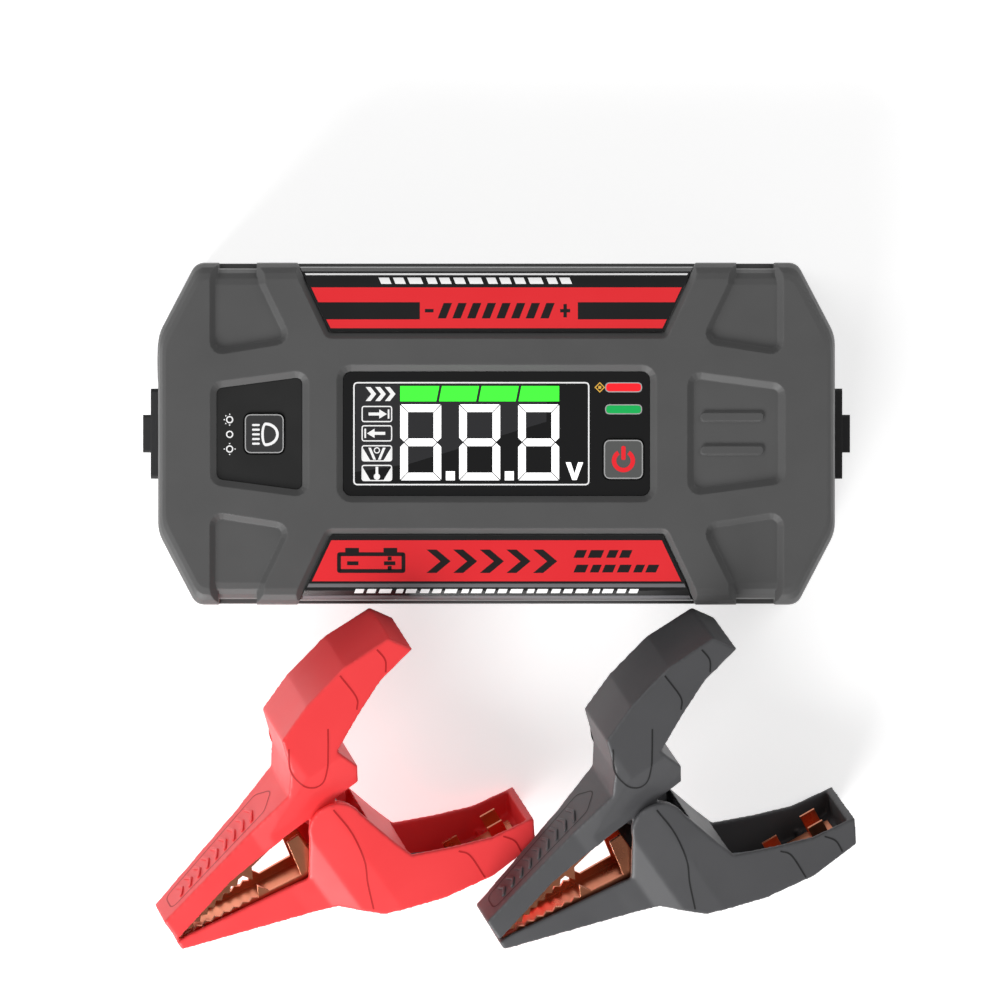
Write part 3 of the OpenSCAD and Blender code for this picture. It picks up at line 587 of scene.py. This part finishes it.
def row_of_dashes(x0, x1, y, count, height, slant, rhythm):
    """Slanting dashes between x0 and x1, whose lengths follow the rhythm."""
    weights = [rhythm[i % len(rhythm)] for i in range(count)]
    unit = (x1 - x0) / sum(weights)
    out, x = [], x0
    for w in weights:
        out.append(rect(x + unit * w * DASH_FILL / 2, y, unit * w * DASH_FILL, height, slant))
        x += unit * w
    return out


def chevron(x, y, w, h, thick):
    return [(x, y + h / 2), (x + thick, y + h / 2), (x + w, y), (x + thick, y - h / 2),
            (x, y - h / 2), (x + w - thick, y)]


def battery_sign(x, y, w, h, line):
    """Outline of a battery with two posts, a minus and a plus."""
    body_line = rounded_loop(rect(x, y, w, h), 0.9)
    marks = [outline_ring(body_line, line)]
    for s in (-1, 1):
        marks.append(rect(x + s * w * 0.28, y + h / 2 + 0.65, w * 0.2, 1.3))
        marks.append(rect(x + s * w * 0.27, y - 0.2, 3.4, line))
    marks.append(rect(x + w * 0.27, y + line / 2 + 0.65, line, 1.2))
    marks.append(rect(x + w * 0.27, y - line / 2 - 1.05, line, 1.2))
    return marks


print_marks("bottom_plate_red", [band(-32.0, -44.3, 49.6, 55.4)], RED_PRINT)
print_marks("bottom_plate_bands", [band(-45.0, -46.1, 56.3, 56.8), band(-48.6, -49.6, 57.9, 58.3)],
            GREY_PRINT)
SIGN_Y, TOP_SIGN_Y = -38.3, 36.9
signs = battery_sign(-37.6, SIGN_Y - 0.4, 20.5, 6.2, 1.15)
signs += [chevron(-21.0 + 8.0 * k, SIGN_Y, 7.2, 7.0, 3.0) for k in range(5)]
signs += row_of_dashes(23.6, 41.5, SIGN_Y + 2.2, 4, 2.3, slant=0.5, rhythm=(1.0, 1.3, 0.9))
signs += row_of_dashes(23.6, 49.6, SIGN_Y - 2.2, 6, 2.3, slant=0.5, rhythm=(1.2, 0.9, 1.1))
print_marks("bottom_plate_signs", signs, INK_PRINT, lift=OVER_LIFT)
dashes = row_of_dashes(-42.5, 43.5, -47.25, 22, 1.25, slant=0.25, rhythm=(1.0, 1.0, 1.4, 0.8, 1.2))
print_marks("bottom_plate_dashes", dashes, WHITE_PRINT_PAINTED_GLOW, lift=OVER_LIFT)

red_top = [band(39.45, 43.9, 53.5, 55.6), band(31.65, 34.3, 49.8, 51.1),
           [(-23.0, 34.3), (24.4, 34.3), (24.4, 39.45), (-23.0, 39.45)]]
print_marks("top_plate_red", red_top, RED_PRINT)
# Painted highlight: a thin white band where the plate's rounded edge catches the light
print_marks("top_plate_painted_highlight", [band(47.6, 48.15, 57.2, 57.5)], WHITE_PRINT_PAINTED_GLOW)
# A row of bars between a minus and a plus
signs = [rect(-15.5 + 4.4 * k, TOP_SIGN_Y, 2.5, 4.6, 0.9) for k in range(8)]
signs += [rect(-20.2, TOP_SIGN_Y, 2.6, 1.0), rect(20.6, TOP_SIGN_Y, 3.0, 1.0),
          rect(20.6, 38.15, 1.0, 1.5), rect(20.6, 35.65, 1.0, 1.5)]
print_marks("top_plate_signs", signs, INK_PRINT, lift=OVER_LIFT)
dashes = row_of_dashes(-35.0, 23.5, 45.9, 13, 1.9, slant=-0.4, rhythm=(1.0, 1.0, 1.3, 0.9))
print_marks("top_plate_dashes", dashes, WHITE_PRINT_PAINTED_GLOW, lift=OVER_LIFT)


# ---- Clamps ----

# Painted shade: darker strips of each cover's colour, laid where its creases and grooves hold shade
CREASE_SHADE_RED = surface("red_crease_shade", "#C4181C", 0.5, bump=0.05, vary=0.05, edge_r=0)
CREASE_SHADE_BLACK = surface("black_crease_shade", "#1E1E1F", 0.5, bump=0.05, vary=0.05, edge_r=0)

# Half widths of the covers in mm: PLAN by the distance along the clamp, FRONT by the height
LOWER_PLAN = [(-60, 12.8), (-2, 13.5), (8, 12.6), (15, 10.4), (22, 9.6), (59.3, 7)]
UPPER_PLAN = [(-60, 12.8), (-2, 13.5), (12, 11.4), (22, 9.6), (58.8, 7)]
UPPER_FRONT = [(-20, 10.4), (9.5, 10.4), (20, 13.5), (60, 13.5)]

# Outer face of the upper jaw, and the row of ribs on it, framed by a groove drawn in painted shade
JAW_TOP_TIP, JAW_TOP_NECK = (58.7, 4.8), (5.9, 18.1)
PAD_HALF, PAD_WIDENING = 4.3, 2.9
PAD_START, PAD_SHOULDER, PAD_POINT = 4.0, 9, 3.5
PAD_LINE_LIFT = 0.05
RIBS, RIB_START, RIB_PITCH, RIB_HEIGHT = 9, 8.5, 3.9, 0.42
RIB_ROOT, RIB_BEVEL = 0.25, 0.15

CREASE_WIDTH, CREASE_LIFT = 0.5, 0.07
EAR_CREASE = [(-2.6, 6.4), (-3.0, -3.5), (-1.2, -13.5), (2.0, -20.5), (5.2, -29.0)]
NECK_CREASE = [(-2.4, 31.5), (1.0, 25.0), (0.6, 19.0), (-1.6, 15.6), (-4.8, 15.2), (-8.0, 18.2),
               (-12.0, 24.0), (-15.5, 29.5)]
# Each grip crease's place along the clamp, and how far out it starts
GRIP_CREASES = [(-27.5, 29.2), (-41.0, 33.8)]
GRIP_CREASE_END = 41.6


def at(table, x):
    """Value at x on a list of points joined by straight lines."""
    for (x0, y0), (x1, y1) in zip(table, table[1:]):
        if x <= x1:
            return y0 + (y1 - y0) * (x - x0) / (x1 - x0)
    return table[-1][1]


def clamp_frame(side):
    """Matrix from a clamp's own axes in mm to the frame in m, about the pivot.

    The axes run towards the tip, towards the upper handle, and across the clamp.
    """
    joint = next(j for j in frame["joints"] if j["name"] == f"{side}_jaw_open")
    pivot = Vector(joint["pos_m"])
    along = Vector((math.cos(TIP_DIR), math.sin(TIP_DIR), 0))
    up = Vector((math.sin(TIP_DIR) * math.cos(LEAN), -math.cos(TIP_DIR) * math.cos(LEAN),
                 math.sin(LEAN)))
    across = along.cross(up)
    m = Matrix((along, up, across)).transposed().to_4x4()
    return Matrix.Translation(pivot) @ m @ Matrix.Scale(MM, 4)


def crease(name, path, half_at, face, matrix, mat, body, slot):
    """A thin dark strip of painted shade along a path on one side face of a cover, where a moulded
    crease lies.
    """
    pts = smooth_path(path)
    bm = bmesh.new()
    rows = []
    n = len(pts)
    for i, p in enumerate(pts):
        before = pts[i - 1] if i else p
        after = pts[i + 1] if i < n - 1 else p
        t = (after - before).normalized()
        side = Vector((-t.y, t.x)) * CREASE_WIDTH / 2
        row = []
        for q in (p + side, p - side):
            height = half_at(q.x, q.y) + CREASE_LIFT
            row.append(bm.verts.new(matrix @ Vector((q.x, q.y, face * height))))
        rows.append(row)
    for i in range(n - 1):
        bm.faces.new((rows[i][0], rows[i + 1][0], rows[i + 1][1], rows[i][1]))
    finish_mesh(name, bm, mat, body)


def smooth_path(path, steps=8):
    """Catmull-Rom curve through the points."""
    pts = [Vector(p) for p in path]
    n = len(pts)
    out = []
    for i in range(n - 1):
        p0 = pts[i - 1] if i else pts[0] * 2 - pts[1]
        p1, p2 = pts[i], pts[i + 1]
        p3 = pts[i + 2] if i + 2 < n else p2 * 2 - p1
        for k in range(steps):
            t = k / steps
            out.append(0.5 * (2 * p1 + (p2 - p0) * t + (2 * p0 - 5 * p1 + 4 * p2 - p3) * t * t
                              + (3 * p1 - p0 - 3 * p2 + p3) * t ** 3))
    out.append(pts[-1])
    return out


def ribs(name, loops, matrix, mat, body):
    """Outlines in mm raised from a plane into ribs with rounded top edges."""
    bm = bmesh.new()
    for loop in loops:
        face = bm.faces.new([bm.verts.new((p[0], p[1], -RIB_ROOT)) for p in loop])
        top = bmesh.ops.extrude_face_region(bm, geom=[face])
        for v in [g for g in top["geom"] if isinstance(g, bmesh.types.BMVert)]:
            v.co.z = RIB_HEIGHT
    bmesh.ops.recalc_face_normals(bm, faces=bm.faces)
    edges = [e for e in bm.edges if all(v.co.z > RIB_HEIGHT / 2 for v in e.verts)]
    bmesh.ops.bevel(bm, geom=edges, offset=RIB_BEVEL, segments=2, affect="EDGES", profile=0.6)
    bm.transform(matrix)
    finish_mesh(name, bm, mat, body, smooth=True)


def dress_clamp(side, cover_mat, crease_shade_mat):
    """One clamp's rounded covers, with their creases and the groove round the ribbed pad on the
    upper jaw drawn in painted shade, and the pad's ribs.
    """
    to_world = clamp_frame(side)
    lower, upper, slot = f"{side}_clamp", f"{side}_upper_arm", f"{side}_cover"
    moulded(f"{side}_lower_cover", lower, cover_mat, pin_axes=to_world)
    moulded(f"{side}_upper_cover", upper, cover_mat)

    def lower_half(u, _):
        return at(LOWER_PLAN, u)

    def upper_half(u, v):
        return min(at(UPPER_PLAN, u), at(UPPER_FRONT, v))

    for face, tag in ((-1, "near"), (1, "far")):
        on_lower = (lower_half, face, to_world, crease_shade_mat, lower, slot)
        on_upper = (upper_half, face, to_world, crease_shade_mat, upper, slot)
        crease(f"{side}_ear_crease_{tag}", EAR_CREASE, *on_lower)
        for k, (u, rim) in enumerate(GRIP_CREASES):
            line = [(u + 1.6, rim), (u - 0.4, rim + 3.5), (u - 0.2, GRIP_CREASE_END)]
            crease(f"{side}_grip_crease_{tag}_{k}", [(x, -y) for x, y in line], *on_lower)
            crease(f"{side}_upper_grip_crease_{tag}_{k}", line, *on_upper)
        crease(f"{side}_neck_crease_{tag}", NECK_CREASE, *on_upper)

    # The pad's own axes: from the tip to the neck, across, and out of the jaw's face
    tip, neck = Vector(JAW_TOP_TIP), Vector(JAW_TOP_NECK)
    d = (neck - tip).normalized()
    length = (neck - tip).length
    pad = to_world @ Matrix(((d.x, 0, d.y, tip.x), (d.y, 0, -d.x, tip.y),
                             (0, 1, 0, 0), (0, 0, 0, 1)))
    slope = PAD_WIDENING / length

    def pad_half(x):
        return PAD_HALF + slope * x

    shoulder = length - PAD_SHOULDER
    line = rounded_loop([(PAD_START, -pad_half(PAD_START)), (shoulder, -pad_half(shoulder)),
                         (length - PAD_POINT, 0), (shoulder, pad_half(shoulder)),
                         (PAD_START, pad_half(PAD_START))], 3.0)
    # The groove round the pad, drawn as a dark line of painted shade
    outer, inner = outline_ring(line, 0.45)
    bm = bmesh.new()
    for i in range(len(line)):
        j = (i + 1) % len(line)
        bm.faces.new([bm.verts.new(pad @ Vector((*p[:2], PAD_LINE_LIFT)))
                      for p in (outer[i], outer[j], inner[j], inner[i])])
    bmesh.ops.remove_doubles(bm, verts=bm.verts, dist=1e-6)
    finish_mesh(f"{side}_pad_groove_shade", bm, crease_shade_mat, upper)

    arrows = []
    for k in range(RIBS):
        x = RIB_START + k * RIB_PITCH
        h = pad_half(x) - 1.7
        arrows.append([(x, -h), (x + 1.1, -h), (x + 2.6, 0), (x + 1.1, h), (x, h), (x + 1.5, 0)])
    ribs(f"{side}_pad_ribs", arrows, pad, cover_mat, upper)


dress_clamp("red", RED_COVER, CREASE_SHADE_RED)
dress_clamp("black", BLACK_COVER, CREASE_SHADE_BLACK)


# ---- Camera, floor and light ----

# The camera stands over the pack's middle, and its shift puts that off the picture's middle
SENSOR = 36
VIEW_DISTANCE = 3.0
VIEW_WIDTH = 0.300
PACK_OFFSET = (-0.00105, 0.0199)
FLOOR_HALF = 3.0

camera_data = bpy.data.cameras.new("camera")
camera_data.sensor_width = SENSOR
camera_data.lens = SENSOR * VIEW_DISTANCE / VIEW_WIDTH
camera_data.shift_x = -PACK_OFFSET[0] / VIEW_WIDTH
camera_data.shift_y = -PACK_OFFSET[1] / VIEW_WIDTH
camera_data.dof.use_dof = False
camera = bpy.data.objects.new("camera", camera_data)
camera.location = (0, 0, FACE_Z + VIEW_DISTANCE)
bpy.context.scene.collection.objects.link(camera)
bpy.context.scene.camera = camera

floor_mesh = bpy.data.meshes.new("floor")
floor_mesh.from_pydata([(-FLOOR_HALF, -FLOOR_HALF, 0), (FLOOR_HALF, -FLOOR_HALF, 0),
                        (FLOOR_HALF, FLOOR_HALF, 0), (-FLOOR_HALF, FLOOR_HALF, 0)],
                       [], [(0, 1, 2, 3)])
floor = bpy.data.objects.new("floor", floor_mesh)
bpy.context.scene.collection.objects.link(floor)
floor_mesh.materials.append(surface("floor_paper", "#F6F6F6", 0.9, bump=0.02, vary=0.005, edge_r=0,
                                    emit=0.62))


def area_light(name, location, target, size, power):
    data = bpy.data.lights.new(name, "AREA")
    data.shape = "RECTANGLE"
    data.size, data.size_y = size
    data.energy = power
    obj = bpy.data.objects.new(name, data)
    obj.location = location
    obj.rotation_euler = (Vector(target) - Vector(location)).to_track_quat("-Z", "Y").to_euler()
    bpy.context.scene.collection.objects.link(obj)


area_light("key", (-0.6, -1.15, 0.68), (0, -0.03, 0.02), (1.1, 0.45), 22)
area_light("left_fill", (-1.2, 0.8, 1.0), (0, 0, 0.02), (1.2, 0.8), 7)
area_light("right_fill", (1.2, 0.6, 1.0), (0, 0, 0.02), (1.2, 0.8), 6)

world = bpy.data.worlds.new("studio")
bpy.context.scene.world = world
world.use_nodes = True
background = world.node_tree.nodes["Background"]
background.inputs["Color"].default_value = (1, 1, 1, 1)
background.inputs["Strength"].default_value = 0.18

scene = bpy.context.scene
scene.view_settings.view_transform = "Standard"
scene.view_settings.look = "None"
